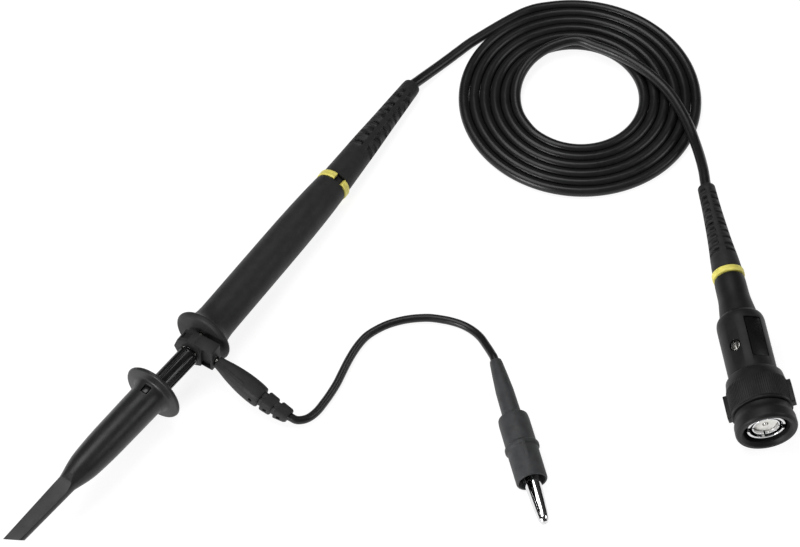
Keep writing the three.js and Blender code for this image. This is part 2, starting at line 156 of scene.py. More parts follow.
def add_world():
    """A bright dome overhead that falls off towards the horizon."""
    world = bpy.data.worlds.new("studio")
    world.use_nodes = True
    nodes, links = world.node_tree.nodes, world.node_tree.links
    place = nodes.new("ShaderNodeTexCoord")
    split = nodes.new("ShaderNodeSeparateXYZ")
    links.new(place.outputs["Generated"], split.inputs["Vector"])
    height = nodes.new("ShaderNodeMapRange")
    height.inputs["From Min"].default_value = 0.15
    height.inputs["From Max"].default_value = 0.85
    height.inputs["To Min"].default_value = 0.1
    height.inputs["To Max"].default_value = 1.05
    links.new(split.outputs["Z"], height.inputs["Value"])
    links.new(height.outputs["Result"], nodes["Background"].inputs["Strength"])
    bpy.context.scene.world = world


def add_studio():
    add_world()
    bpy.context.scene.view_settings.view_transform = "Standard"
    middle = (0.04, -0.05, 0)
    add_light("overhead_softbox", (0.1, 0.25, 0.9), middle, 0.8, 0.5, 5.2)
    add_light("side_softbox", (-0.9, 0.1, 0.34), middle, 0.4, 0.4, 7.5)
    add_light("front_softbox", (0.5, -0.7, 0.55), middle, 0.5, 0.3, 1.8)


add_camera()
add_floor()
add_studio()


# ---- materials ----

class Paint:
    """A node material with a Principled shader and helpers that add its surface detail."""

    def __init__(self, name, roughness, metallic=0.0, specular=0.5):
        self.material = bpy.data.materials.new(name)
        self.material.use_nodes = True
        self.tree = self.material.node_tree
        self.shader = self.tree.nodes["Principled BSDF"]
        self.shader.inputs["Roughness"].default_value = roughness
        self.shader.inputs["Metallic"].default_value = metallic
        self.shader.inputs["Specular IOR Level"].default_value = specular
        self.place = self.tree.nodes.new("ShaderNodeTexCoord").outputs["Object"]

    def set(self, **values):
        for name, value in values.items():
            self.shader.inputs[name.replace("_", " ")].default_value = value

    def noise(self, size_mm, detail=3.0, stretch=None):
        node = self.tree.nodes.new("ShaderNodeTexNoise")
        node.inputs["Scale"].default_value = 1 / (size_mm * MM)
        node.inputs["Detail"].default_value = detail
        place = self.place
        if stretch:
            mapping = self.tree.nodes.new("ShaderNodeMapping")
            mapping.inputs["Scale"].default_value = stretch
            self.tree.links.new(place, mapping.inputs["Vector"])
            place = mapping.outputs["Vector"]
        self.tree.links.new(place, node.inputs["Vector"])
        return node.outputs["Fac"]

    def ranged(self, value, low, high):
        node = self.tree.nodes.new("ShaderNodeMapRange")
        node.inputs["From Min"].default_value = 0.3
        node.inputs["From Max"].default_value = 0.7
        node.inputs["To Min"].default_value = low
        node.inputs["To Max"].default_value = high
        self.tree.links.new(value, node.inputs["Value"])
        return node.outputs["Result"]

    def colours(self, value, low, high):
        """The base colour runs from low to high with the value, which is between 0.3 and 0.7."""
        node = self.tree.nodes.new("ShaderNodeMix")
        node.data_type = "RGBA"
        self.tree.links.new(self.ranged(value, 0, 1), node.inputs["Factor"])
        node.inputs["A"].default_value = (*low, 1)
        node.inputs["B"].default_value = (*high, 1)
        self.tree.links.new(node.outputs["Result"], self.shader.inputs["Base Color"])

    def rough(self, value, low, high):
        self.tree.links.new(self.ranged(value, low, high), self.shader.inputs["Roughness"])

    def bumps(self, *heights):
        """Each height is a value and its depth in millimetres."""
        normal = None
        for value, depth in heights:
            node = self.tree.nodes.new("ShaderNodeBump")
            node.inputs["Distance"].default_value = depth * MM
            self.tree.links.new(value, node.inputs["Height"])
            if normal:
                self.tree.links.new(normal, node.inputs["Normal"])
            normal = node.outputs["Normal"]
        self.tree.links.new(normal, self.shader.inputs["Normal"])


def moulded(name, tone, roughness, grain=0.25, depth=0.02, swell=0.03, specular=0.5):
    """Moulded plastic or rubber: fine grain, a slow swell of the surface, and slightly uneven gloss."""
    paint = Paint(name, roughness, specular=specular)
    fine = paint.noise(grain, 2)
    slow = paint.noise(6, 4)
    smudges = paint.noise(2.2, 5)
    paint.colours(smudges, [0.86 * c for c in tone], [1.16 * c for c in tone])
    paint.rough(slow, roughness - 0.05, roughness + 0.05)
    paint.bumps((slow, swell), (fine, depth))
    return paint


def metal(name, tone, roughness, grain=0.15, depth=0.003):
    """Plated metal: faint polishing marks and patches of duller plating."""
    paint = Paint(name, roughness, metallic=1.0)
    marks = paint.noise(grain, 2, stretch=(1, 1, 6))
    patches = paint.noise(1.5, 4)
    paint.colours(patches, [0.9 * c for c in tone], tone)
    paint.rough(patches, roughness * 0.7, roughness * 1.35)
    paint.bumps((marks, depth))
    return paint


def make_materials():
    paints = {
        "handle_plastic": moulded("handle_plastic", (0.023, 0.023, 0.0235), 0.52, 0.22, 0.03, specular=0.2),
        "hook_plastic": moulded("hook_plastic", (0.018, 0.018, 0.0185), 0.36, 0.3, 0.01, specular=0.28),
        "gloss_black": moulded("gloss_black", (0.01, 0.01, 0.0105), 0.16, 0.4, 0.001, 0.002, 0.35),
        "boot_rubber": moulded("boot_rubber", (0.022, 0.022, 0.0225), 0.56, 0.18, 0.025, specular=0.22),
        "cable_jacket": moulded("cable_jacket", (0.012, 0.012, 0.0125), 0.32, 0.35, 0.01, specular=0.32),
        "clip_rubber": moulded("clip_rubber", (0.045, 0.046, 0.048), 0.55, 0.18, 0.03, specular=0.25),
        "marker_yellow": moulded("marker_yellow", (0.78, 0.7, 0.15), 0.45, 0.25, 0.01, 0.01),
        "box_plastic": moulded("box_plastic", (0.011, 0.011, 0.0115), 0.48, 0.25, 0.012, 0.02, 0.22),
        "panel_foil": moulded("panel_foil", (0.008, 0.008, 0.0085), 0.3, 0.12, 0.005, 0.01, 0.2),
        "insulator_white": moulded("insulator_white", (0.8, 0.79, 0.75), 0.4, 0.3, 0.008, 0.01),
        "circuit_board": moulded("circuit_board", (0.03, 0.17, 0.08), 0.45, 0.3, 0.01),
        "resistor_body": moulded("resistor_body", (0.6, 0.48, 0.3), 0.4, 0.3, 0.01),
        "ceramic": moulded("ceramic", (0.5, 0.2, 0.07), 0.5, 0.3, 0.015),
        "chrome": metal("chrome", (0.78, 0.78, 0.79), 0.1),
        "nickel": metal("nickel", (0.6, 0.59, 0.56), 0.24),
        "brass": metal("brass", (0.66, 0.47, 0.18), 0.26),
    }
    return {slot: paint.material for slot, paint in paints.items()}


MATERIALS = make_materials()
for name, node in frame["nodes"].items():
    node.data.materials.clear()
    node.data.materials.append(MATERIALS[SLOT_OF[name]])


# ---- building blocks, in millimetres ----

def smooth_line(points, step):
    """Points every step or so along a smooth curve through the given points."""
    rows = [Vector(p) for p in points]
    rows = [2 * rows[0] - rows[1], *rows, 2 * rows[-1] - rows[-2]]
    line = []
    for before, a, b, after in zip(rows, rows[1:], rows[2:], rows[3:]):
        count = max(1, round((b - a).length / step))
        for i in range(count):
            t = i / count
            line.append(0.5 * (2 * a + (b - before) * t
                               + (2 * before - 5 * a + 4 * b - after) * t * t
                               + (3 * a - before - 3 * b + after) * t * t * t))
    return [*line, rows[-2]]


def soft(outline, radius, steps=4):
    """The outline with its corners rounded. A point's third number is its own corner radius."""
    closed = outline[0][:2] == outline[-1][:2]
    corners = outline[:-1] if closed else outline
    result = []
    for i, corner in enumerate(corners):
        size = corner[2] if len(corner) > 2 else radius
        here = Vector(corner[:2])
        if size <= 0 or (not closed and i in (0, len(corners) - 1)):
            result.append(tuple(here))
            continue
        before = Vector(corners[i - 1][:2])
        after = Vector(corners[(i + 1) % len(corners)][:2])
        reach = min(size, 0.48 * (before - here).length, 0.48 * (after - here).length)
        start = here + (before - here).normalized() * reach
        end = here + (after - here).normalized() * reach
        for k in range(steps + 1):
            t = k / steps
            result.append(tuple(start * (1 - t) ** 2 + here * 2 * t * (1 - t) + end * t * t))
    if closed:
        result.append(result[0])
    return result


def new_piece(name, vertices, faces):
    mesh = bpy.data.meshes.new(name)
    mesh.from_pydata([tuple(v) for v in vertices], [], faces)
    work = bmesh.new()
    work.from_mesh(mesh)
    bmesh.ops.remove_doubles(work, verts=work.verts, dist=1e-5)
    bmesh.ops.recalc_face_normals(work, faces=work.faces)
    work.to_mesh(mesh)
    work.free()
    piece = bpy.data.objects.new(name, mesh)
    bpy.context.scene.collection.objects.link(piece)
    return piece


def around(radius, angle):
    """Angles about X run from +Z towards +Y."""
    return radius * math.sin(angle), radius * math.cos(angle)


def turned(name, outline, sides=96, swell=None):
    """A body turned about X from (x, radius) points; swell(x, radius, angle) adds to the radius."""
    vertices, rings = [], []
    closed = tuple(outline[0]) == tuple(outline[-1])
    for x, radius in (outline[:-1] if closed else outline):
        if radius < 1e-6:
            rings.append([len(vertices)] * sides)
            vertices.append((x, 0, 0))
            continue
        rings.append(list(range(len(vertices), len(vertices) + sides)))
        for i in range(sides):
            angle = 2 * math.pi * i / sides
            extra = swell(x, radius, angle) if swell else 0
            vertices.append((x, *around(radius + extra, angle)))
    if closed:
        rings.append(rings[0])
    faces = []
    for ring, following in zip(rings, rings[1:]):
        for i in range(sides):
            j = (i + 1) % sides
            corners = [ring[i], ring[j], following[j], following[i]]
            corners = list(dict.fromkeys(corners))
            if len(corners) > 2:
                faces.append(corners)
    return new_piece(name, vertices, faces)


def open_ring(name, outline, start, end, steps=64):
    """A closed (x, radius) outline swept part of the way round X, with flat ends."""
    section = outline[:-1] if tuple(outline[0]) == tuple(outline[-1]) else outline
    vertices, faces = [], []
    count = len(section)
    for k in range(steps + 1):
        angle = start + (end - start) * k / steps
        vertices += [(x, *around(radius, angle)) for x, radius in section]
    for k in range(steps):
        for i in range(count):
            j = (i + 1) % count
            faces.append([k * count + i, k * count + j, (k + 1) * count + j, (k + 1) * count + i])
    faces.append(list(range(count)))
    faces.append(list(range(steps * count, (steps + 1) * count)))
    return new_piece(name, vertices, faces)


def box(x0, x1, y0, y1, z0, z1):
    corners = [(x, y, z) for x in (x0, x1) for y in (y0, y1) for z in (z0, z1)]
    sides = [(0, 1, 3, 2), (4, 6, 7, 5), (0, 4, 5, 1), (2, 3, 7, 6), (0, 2, 6, 4), (1, 5, 7, 3)]
    return new_piece("block", corners, sides)


def prism(points, low, high, axis="Y"):
    """A closed outline in the plane across the axis, drawn out from low to high."""
    order = {"X": lambda a, b, c: (c, a, b), "Y": lambda a, b, c: (a, c, b), "Z": lambda a, b, c: (a, b, c)}[axis]
    count = len(points)
    vertices = [order(a, b, low) for a, b in points] + [order(a, b, high) for a, b in points]
    faces = [[i, (i + 1) % count, count + (i + 1) % count, count + i] for i in range(count)]
    faces += [list(range(count)), list(range(count, 2 * count))]
    return new_piece("prism", vertices, faces)


def lofted(name, stations, section):
    """Sections (y, z) of unit size, scaled at each (x, half width, half height) station, with flat ends."""
    count = len(section)
    vertices, faces = [], []
    for x, width, height in stations:
        vertices += [(x, y * width, z * height) for y, z in section]
    for k in range(len(stations) - 1):
        for i in range(count):
            j = (i + 1) % count
            faces.append([k * count + i, k * count + j, (k + 1) * count + j, (k + 1) * count + i])
    faces.append(list(range(count)))
    faces.append(list(range((len(stations) - 1) * count, len(stations) * count)))
    return new_piece(name, vertices, faces)


def swept(name, path, radius, sides=16, round_ends=False):
    """A round tube along the path, carried without twist."""
    points = [Vector(p) for p in path]
    vertices, faces = [], []
    tangent = (points[1] - points[0]).normalized()
    side = tangent.orthogonal().normalized()
    last = len(points) - 1
    for i, point in enumerate(points):
        ahead = (points[min(i + 1, last)] - points[max(i - 1, 0)]).normalized()
        side = (side - ahead * side.dot(ahead)).normalized()
        other = ahead.cross(side)
        for k in range(sides):
            angle = 2 * math.pi * k / sides
            vertices.append(point + (side * math.cos(angle) + other * math.sin(angle)) * radius)
    for i in range(last):
        for k in range(sides):
            m = (k + 1) % sides
            faces.append([i * sides + k, i * sides + m, (i + 1) * sides + m, (i + 1) * sides + k])
    faces.append(list(range(sides)))
    faces.append(list(range(last * sides, (last + 1) * sides)))
    return new_piece(name, vertices, faces)


def settle(piece):
    """Makes the result of the piece's modifiers its mesh."""
    bpy.context.view_layer.update()
    solid = piece.evaluated_get(bpy.context.evaluated_depsgraph_get())
    mesh = bpy.data.meshes.new_from_object(solid)
    piece.modifiers.clear()
    old = piece.data
    piece.data = mesh
    bpy.data.meshes.remove(old)
    return piece


def combine(piece, others, operation):
    for other in others:
        modifier = piece.modifiers.new("join", "BOOLEAN")
        modifier.operation = operation
        modifier.solver = "EXACT"
        modifier.object = other
        settle(piece)
        bpy.data.objects.remove(other)
    return piece


def carve(piece, *tools):
    return combine(piece, tools, "DIFFERENCE")


def weld(piece, *others):
    return combine(piece, others, "UNION")


def ease_edges(piece, width, segments=2, angle=40):
    """Small rounds on the edges that are sharper than the angle."""
    modifier = piece.modifiers.new("edges", "BEVEL")
    modifier.width = width
    modifier.segments = segments
    modifier.limit_method = "ANGLE"
    modifier.angle_limit = math.radians(angle)
    modifier.harden_normals = False
    return settle(piece)


def moved(piece, matrix):
    piece.data.transform(matrix)
    return piece


def shade(piece, angle=32):
    mesh = piece.data
    mesh.polygons.foreach_set("use_smooth", [True] * len(mesh.polygons))
    mesh.set_sharp_from_angle(angle=math.radians(angle))


def show(piece, node, place, *more_nodes):
    """Puts a finished piece where its CAD node is, to stand for that node in the node's own finish."""
    piece.data.transform(place)
    if place.determinant() < 0:
        piece.data.flip_normals()
    piece.data.materials.clear()
    piece.data.materials.append(MATERIALS[SLOT_OF[node]])
    shade(piece)
    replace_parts(piece, node, *more_nodes)
    return piece


def put(piece, node, place, *more_nodes):
    show(piece, node, place, *more_nodes)
    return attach(piece, BODY_OF[node])


METRES = Matrix.Scale(MM, 4)


def in_row(place, x, y=0, z=0):
    """A point of a part's own frame, in the row frame's millimetres."""
    return tuple(place @ Vector((x, y, z)) / MM)


# ---- cable and ground lead ----

CABLE_DIAMETER = 3.3
LEAD_DIAMETER = 2.5
COIL_X, COIL_Y = 128.45, -44.85
COIL_TURNS = 5.75
COIL_PITCH = 3.29
COIL_RADIUS = 38.75
COIL_ANGLE = math.radians(73)
CABLE_Z = CABLE_DIAMETER / 2

CABLE_START = [
    (103.8, 1.2, 2.95), (106.2, 0.9, 2.6), (110.2, 0.1, 2.15), (114, -0.75, 1.85), (117.8, -1.65, 1.7),
    (121.5, -2.55, 1.65), (124, -3.15, 1.65), (132, -5.4, 1.65),
]
CABLE_END = [
    (146, -33.6, 5.2), (147.4, -40.7, 5.2), (148.1, -48, 5.2), (147.7, -55, 5.2),
    (146.2, -62.3, 5.2), (143.5, -69.3, 5.2), (139.7, -75.4, 5.25), (135.4, -80.9, 5.4), (130.5, -85.9, 5.9),
    (125.4, -90.4, 7.2), (120.1, -94.6, 8.6), (114.8, -98.4, 9.25),
]
LEAD = [
    (-20.27, -35.7, 3.36), (-19.75, -37.7, 2.75), (-17.4, -39.6, 2.2), (-13.8, -40.4, 1.7), (-9.7, -40.4, 1.4),
    (-5.8, -40.2, 1.3), (-2, -39.8, 1.25), (1.8, -39.1, 1.25), (5.6, -38.4, 1.25), (9.3, -37.9, 1.25),
    (13.1, -37.7, 1.25), (16.7, -38, 1.25), (20, -39.1, 1.25), (23.2, -40.7, 1.25), (26, -42.7, 1.25),
    (28.5, -45, 1.25), (30.7, -47.6, 1.25), (32.6, -50.4, 1.25), (34, -53.5, 1.25), (35.1, -56.7, 1.25),
    (35.7, -60, 1.3), (35.5, -63.5, 1.6), (34.3, -67.1, 2.3), (32.1, -70.6, 3.4), (29.7, -74, 4.6),
    (28, -76.1, 5.1),
]


def coil_point(turn, radius, z):
    angle = COIL_ANGLE - 2 * math.pi * turn
    return COIL_X + radius * math.cos(angle), COIL_Y + radius * math.sin(angle), z


def coil_points():
    """The spiral inwards, then the climb over its innermost turn."""
    steps_per_turn = 24
    points = []
    for i in range(1, round(COIL_TURNS * steps_per_turn) + 1):
        turn = i / steps_per_turn
        points.append(coil_point(turn, COIL_RADIUS - COIL_PITCH * turn, CABLE_Z))
    inner = COIL_RADIUS - COIL_PITCH * COIL_TURNS
    climb = [(0.06, -0.16, 0.2), (0.12, -0.3, 0.7), (0.18, -0.2, 1.5), (0.24, 0.1, 2.3), (0.3, 0.45, 3)]
    for turn, outwards, rise in climb:
        points.append(coil_point(COIL_TURNS + turn, inner + outwards, CABLE_Z + rise))
    return points


def make_cable():
    inside_boot = [in_row(BOOT, 34), in_row(BOOT, 40)]
    inside_plug = [in_row(PLUG, 6), in_row(PLUG, 20), in_row(PLUG, 35), in_row(PLUG, 50)]
    route = [*inside_boot, *CABLE_START, *coil_points(), *CABLE_END, *inside_plug]
    path = smooth_line(route, 0.9)
    cable = swept("cable", path, CABLE_DIAMETER / 2, 20)
    put(cable, "cable_coil", METRES, "cable_start", "cable_end")
    return cable, [p * MM for p in path]


def make_lead():
    inside_boot = [in_row(LEAD_PLUG, 16), in_row(LEAD_PLUG, 25, 0.8)]
    inside_clip = [in_row(CLIP, 8), in_row(CLIP, 18)]
    path = smooth_line([*inside_boot, *LEAD, *inside_clip], 0.6)
    lead = swept("ground_lead", path, LEAD_DIAMETER / 2, 16)
    show(lead, "lead_wire", METRES)
    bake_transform(lead)
    return lead, [p * MM for p in path]


cable, cable_path = make_cable()
lead, lead_path = make_lead()

# ---- probe head ----

def tube_outline(x0, x1, outer, inner, corner=0.15):
    return soft([(x0, inner), (x0, outer, corner), (x1, outer, corner), (x1, inner), (x0, inner)], 0)


def make_handle():
    flare = []
    for i in range(12):
        x = 0.8 + 0.45 * i
        flare.append((x, 6.01 + 3.1 * math.exp(-(x - 0.6) / 1.4)))
    barrel = [tuple(p) for p in smooth_line([(6.4, 6.03), (10, 5.98), (44, 5.92), (59, 5.64), (67.4, 5.24)], 2)]
    outline = [(-1.2, 2.95), (-1.2, 8.5, 0.5), (-0.35, 9.3, 0.5), (0.35, 9.2, 0.4), *flare, *barrel,
               (68.1, 5.18, 0.35), (68.1, 4.7), (3, 4.7), (3, 2.95), (-1.2, 2.95)]
    put(turned("handle", soft(outline, 0), 128), "handle_shell", HEAD)


def make_nose():
    outline = [(-22, 0.85), (-22, 1.4, 0.2), (-21.4, 1.75, 0.2), (8, 1.75), (8, 4.3, 0.2), (14, 4.3, 0.2),
               (14, 0.85), (-22, 0.85)]
    put(turned("nose", soft(outline, 0), 64), "nose_barrel", HEAD)
    put(turned("ground_tube", tube_outline(-7.6, 7.6, 2.55, 2.1), 64), "ground_sleeve", HEAD)
    needle = [(-27, 0), (-26.9, 0.1), (-26.6, 0.18), (-24.5, 0.45), (10, 0.45), (10, 0)]
    put(turned("needle", needle, 32), "tip_needle", HEAD)
    bush = [(60, 2.2), (60, 4.35, 0.2), (66, 4.35, 0.2), (66, 3.6), (80, 3.6, 0.2), (80, 2.2), (60, 2.2)]
    put(turned("rear_bush", soft(bush, 0), 64), "tail_bush", HEAD)


MARKER_GAP_MIDDLE = math.radians(-28)
MARKER_GAP_HALF = math.radians(17)


def marker_section(x0, x1, outer, inner):
    """The ring's section, with the fine groove round its middle."""
    middle = (x0 + x1) / 2
    return soft([(x0, inner), (x0, outer, 0.4), (middle - 0.12, outer), (middle, outer - 0.12),
                 (middle + 0.12, outer), (x1, outer, 0.4), (x1, inner), (x0, inner)], 0)


def make_marker_ring():
    section = marker_section(68.4, 70.7, 5.42, 4.0)
    start = MARKER_GAP_MIDDLE + MARKER_GAP_HALF
    end = MARKER_GAP_MIDDLE - MARKER_GAP_HALF + 2 * math.pi
    put(ease_edges(open_ring("marker_ring", section, start, end, 96), 0.2, 3), "marker_ring_probe", HEAD)


def with_stations(outline, stations):
    """Adds points on the outer stretch of the outline, where it runs towards +x, at the stations."""
    result = [outline[0]]
    for before, after in zip(outline, outline[1:]):
        if after[0] > before[0] + 1e-6:
            for x in sorted(s for s in stations if before[0] < s < after[0]):
                share = (x - before[0]) / (after[0] - before[0])
                result.append((x, before[1] + (after[1] - before[1]) * share))
        result.append(after)
    return result


def slotted_boot(name, outline, first, pitch, count, width, depth, strip, strip_half):
    """A strain relief: rows of slots down both sides, with a plain strip between them at the strip's angle."""
    slots = [(first + pitch * k - width / 2, first + pitch * k + width / 2) for k in range(count)]
    piece = turned(name, with_stations(outline, [x for slot in slots for x in slot]), 96)
    work = bmesh.new()
    work.from_mesh(piece.data)

    def in_slot(face):
        middle = face.calc_center_median()
        outwards = Vector((0, middle.y, middle.z)).normalized()
        if face.normal.dot(outwards) < 0.5 or not any(a < middle.x < b for a, b in slots):
            return False
        turn = (math.atan2(middle.y, middle.z) - strip) % math.pi
        return strip_half < turn < math.pi - strip_half

    sunk = bmesh.ops.extrude_face_region(work, geom=[face for face in work.faces if in_slot(face)])
    for item in sunk["geom"]:
        if isinstance(item, bmesh.types.BMVert):
            radius = math.hypot(item.co.y, item.co.z)
            item.co.y *= (radius - depth) / radius
            item.co.z *= (radius - depth) / radius
    bmesh.ops.recalc_face_normals(work, faces=work.faces)
    work.to_mesh(piece.data)
    work.free()
    return ease_edges(piece, 0.09, 2, 45)


def make_probe_boot():
    outer = [tuple(p) for p in smooth_line(
        [(0.4, 4.88), (10, 4.5), (18.3, 4.18), (27.3, 3.72), (37.3, 3.28), (44.9, 2.95)], 2.5)]
    outline = [(0, 3.9), (0, 4.9, 0.25), *outer, (46.3, 2.75, 0.9), (46.3, 1.85), (10.3, 1.85), (10.3, 3.9),
               (0, 3.9)]
    boot = slotted_boot("probe_strain_relief", soft(outline, 0), 14.6, 3.2, 9, 1.3, 0.75,
                        math.radians(-22.5), math.radians(11.25))
    put(boot, "boot_probe", BOOT)


make_handle()
make_nose()
make_marker_ring()
make_probe_boot()


# ---- hook tip ----

TIP_X = -90.4


def make_hook_carrier():
    ribs = 8

    def flutes(x, radius, angle):
        share = (angle * ribs / (2 * math.pi)) % 1
        if radius < 3 or not -35.2 < x < -8.9:
            return 0
        if share < 0.26:
            return -0.45
        off_middle = (share - 0.63) * 2 * math.pi / ribs
        return 3.1 / math.cos(off_middle) - radius

    neck = [(-36, 1.5), (-36, 2.7), (-35.6, 3.2), (-35.3, 3.2), (-35.1, 3.2), (-9.1, 3.2), (-8.8, 3.2),
            (-8.4, 3.2), (-8.1, 3.05)]
    outline = [(-46.5, 0.75), (-46.5, 1.35), (-46.3, 1.5), *neck, (-8.1, 2.4), (-24.3, 2.4), (-24.3, 1.4),
               (-34.3, 1.4), (-34.3, 0.75), (-46.5, 0.75)]
    put(ease_edges(turned("hook_neck", outline, 96, flutes), 0.07, 2, 35), "hook_carrier", HOOK)


def make_hook_wire():
    bend = 0.62
    straight = [(-34.7, 0, 0), (-60, 0, 0), (-84, 0, 0), (-85.2, 0, 0)]
    curl = []
    for step in range(1, 13):
        angle = math.pi * step / 12
        curl.append((-85.2 - bend * math.sin(angle), bend - bend * math.cos(angle), 0))
    put(swept("hook", smooth_line([*straight, *curl], 0.25), 0.35, 12), "hook_wire", HOOK)


def make_hook_spring():
    turns, start, end, radius = 6, -36.6, -49.4, 2.3
    steps = turns * 28
    coil = []
    for i in range(steps + 1):
        share = i / steps
        angle = 2 * math.pi * turns * share
        coil.append((start + (end - start) * share, *around(radius, angle)))
    spring = put(swept("spring", coil, 0.25, 8), "hook_spring", HOOK)
    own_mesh(spring)


def make_hook_sleeve():
    cone = [tuple(p) for p in smooth_line(
        [(-64.5, 2.85), (-62.5, 3.3), (-60.5, 3.8), (-58, 4.3), (-55, 4.65), (-48, 5.02), (-38, 5.2),
         (-29.4, 5.3)], 0.9)]
    flange = [(-27.2, 5.4, 1.2), (-25.8, 6.1, 0.7), (-25.55, 9.2, 0.3), (-24.9, 9.6, 0.35), (-24.2, 9.0, 0.35)]
    shell = turned("sleeve", soft([(TIP_X, 0), (TIP_X, 2.3), *cone, *flange, (-24.2, 0)], 0), 112)
    bore = turned("bore", [(-58, 0), (-58, 1.9), (-50, 1.9), (-50, 3.5), (-22, 3.5), (-22, 0)], 64)
    channel = box(TIP_X - 1, -57.5, -1.6, 1.6, -0.75, 0.75)
    run_out = [(-69 + 0.6 * k, 1.3 + 1.8 * (k / 10) ** 2) for k in range(13)]
    top = prism([(TIP_X - 1, 1.3), *run_out, (-57, 7), (TIP_X - 1, 7)], -5, 5)
    run_out = [(-70 + 0.6 * k, -1.7 - 2.2 * (k / 10) ** 2) for k in range(11)]
    underside = prism([(TIP_X - 1, -1.7), *run_out, (-64, -7), (TIP_X - 1, -7)], -5, 5)
    window = box(-29.6, -26.8, -1.2, 1.2, 2, 6)
    slant = Matrix.Rotation(0.55, 4, "Z") @ Matrix.Rotation(-0.6, 4, "Y")
    end = moved(box(-8, 0, -8, 8, -8, 8), Matrix.Translation((TIP_X + 2.3, 0, 0)) @ slant)
    carve(shell, bore, channel, top, underside, window, end)
    put(ease_edges(shell, 0.1, 2, 45), "hook_sleeve", HOOK)
    latch = ease_edges(box(-29.3, -27.1, -0.9, 0.9, 3.75, 5.15), 0.2, 3)
    latch.name = "latch"
    put(latch, "sleeve_latch", HOOK)


make_hook_carrier()
make_hook_wire()
make_hook_spring()
make_hook_sleeve()


# ---- ground collar and lead ----

COLLAR_ROLL = math.radians(18)


def make_collar():
    front, rear = -7.6, -2.9
    octagon = [around(5.45, math.pi / 8 - COLLAR_ROLL + math.pi * k / 4) for k in range(8)]
    ring = ease_edges(prism(octagon, front, rear, "X"), 0.25, 2, 30)
    ring.name = "collar"
    arm = ease_edges(box(front + 0.3, rear, -8.2, -1.6, -3.1, 5.2), 0.35, 3)
    bore = turned("bore", [(front - 1, 0), (front - 1, 2.8), (front + 0.6, 2.8), (front + 0.6, 3.45),
                           (rear - 0.5, 3.45), (rear - 0.5, 3.2), (rear + 1, 3.2), (rear + 1, 0)], 64)
    pocket = moved(box(-1.25, 1.25, -1.5, 1.5, 4.3, 7), Matrix.Translation((-5.25, 0, 0))
                   @ Matrix.Rotation(COLLAR_ROLL - math.pi / 4, 4, "X"))
    seam = box(front - 1, front + 1.2, -7.6, -4.3, -2.5, 4.6)
    socket = turned("socket", [(-4, 0), (-4, 1.35), (3, 1.35), (3, 0)], 32)
    moved(socket, HEAD.inverted() @ LEAD_PLUG)
    weld(ring, arm)
    carve(ring, bore, pocket, seam, socket)
    put(ease_edges(ring, 0.1, 2, 50), "ground_collar", HEAD)


def rounded_square(power=3.0, count=48):
    points = []
    for i in range(count):
        angle = 2 * math.pi * i / count
        side, up = math.sin(angle), math.cos(angle)
        reach = (abs(side) ** power + abs(up) ** power) ** (-1 / power)
        points.append((side * reach, up * reach))
    return points


def make_lead_plug():
    body = smooth_line([(0.3, 1.75), (2, 2.05), (5, 2.6), (9, 3.08), (12.5, 3.25), (15, 3.2), (16.4, 3.05)], 0.7)
    widths = [(-0.45, 1.45), (-0.2, 1.68), *[tuple(p) for p in body], (16.7, 2.85), (16.8, 2.1), (17.8, 2.1),
              (17.9, 2.7), (18.2, 2.88), (21.0, 2.7), (21.3, 2.5), (21.4, 1.95), (22.4, 1.95), (22.5, 2.4),
              (22.8, 2.6), (25.9, 2.2), (26.4, 1.9)]
    boot = lofted("lead_plug_boot", [(x, r, r) for x, r in widths], rounded_square())
    web = box(16, 23, -0.8, 0.8, -2.5, 2.5)
    seam_angle = math.radians(-29)
    seam = [(x, *around(radius * 1.085, seam_angle)) for x, radius in widths if 0 < x < 11]
    weld(boot, web, swept("seam", seam, 0.2, 12))
    hole = turned("hole", [(0, 0), (0, 0.7), (2, 0.7), (2, 0)], 24)
    moved(hole, Matrix.Translation((14.6, -3.6, 0.4)) @ Matrix.Rotation(math.pi / 2, 4, "Z"))
    notches = [box(x, x + 1.1, side, side + 1.6, -0.6, 0.6) for x in (19.2, 23.7) for side in (-3, 1.6)]
    bore = turned("bore", [(22, 0), (22, 1.3), (27, 1.3), (27, 0)], 24)
    carve(boot, hole, *notches, bore)
    ease_edges(boot, 0.08, 2, 45)
    for vertex in boot.data.vertices:
        vertex.co.y += 0.01 * max(0, vertex.co.x - 16) ** 2
    put(boot, "plug_boot", LEAD_PLUG)


RIB_ANGLE = math.radians(-60)


def make_clip_boot():
    tail = [(3, 0), (3, 1.3), (0, 1.3), (0, 1.75, 0.25), (1, 1.92), (5, 2.27), (11, 2.7), (19.7, 2.85), (19.7, 0)]
    put(turned("clip_sleeve", soft(tail, 0), 64), "clip_tail_sleeve", CLIP)
    outline = [(20, 0), (20, 3.8, 0.4), (20.5, 4.45, 0.4), (22, 4.62, 0.8), (30.2, 4.65), (30.5, 4.95, 0.2),
               (30.8, 5.15, 0.3), (31.8, 5.15, 0.3), (32.2, 4.67, 0.2), (42.3, 4.65), (42.7, 4.5, 0.25),
               (42.7, 3.95, 0.2), (22, 3.95), (22, 0)]
    boot = turned("clip_cover", soft(outline, 0), 96)
    rib = prism([(31.5, 4.2), (31.5, 5.45), (35, 5.3), (37.4, 4.75), (37.4, 4.2)], -0.45, 0.45)
    weld(boot, moved(rib, Matrix.Rotation(-RIB_ANGLE, 4, "X")))
    put(ease_edges(boot, 0.12, 2, 45), "clip_boot", CLIP)


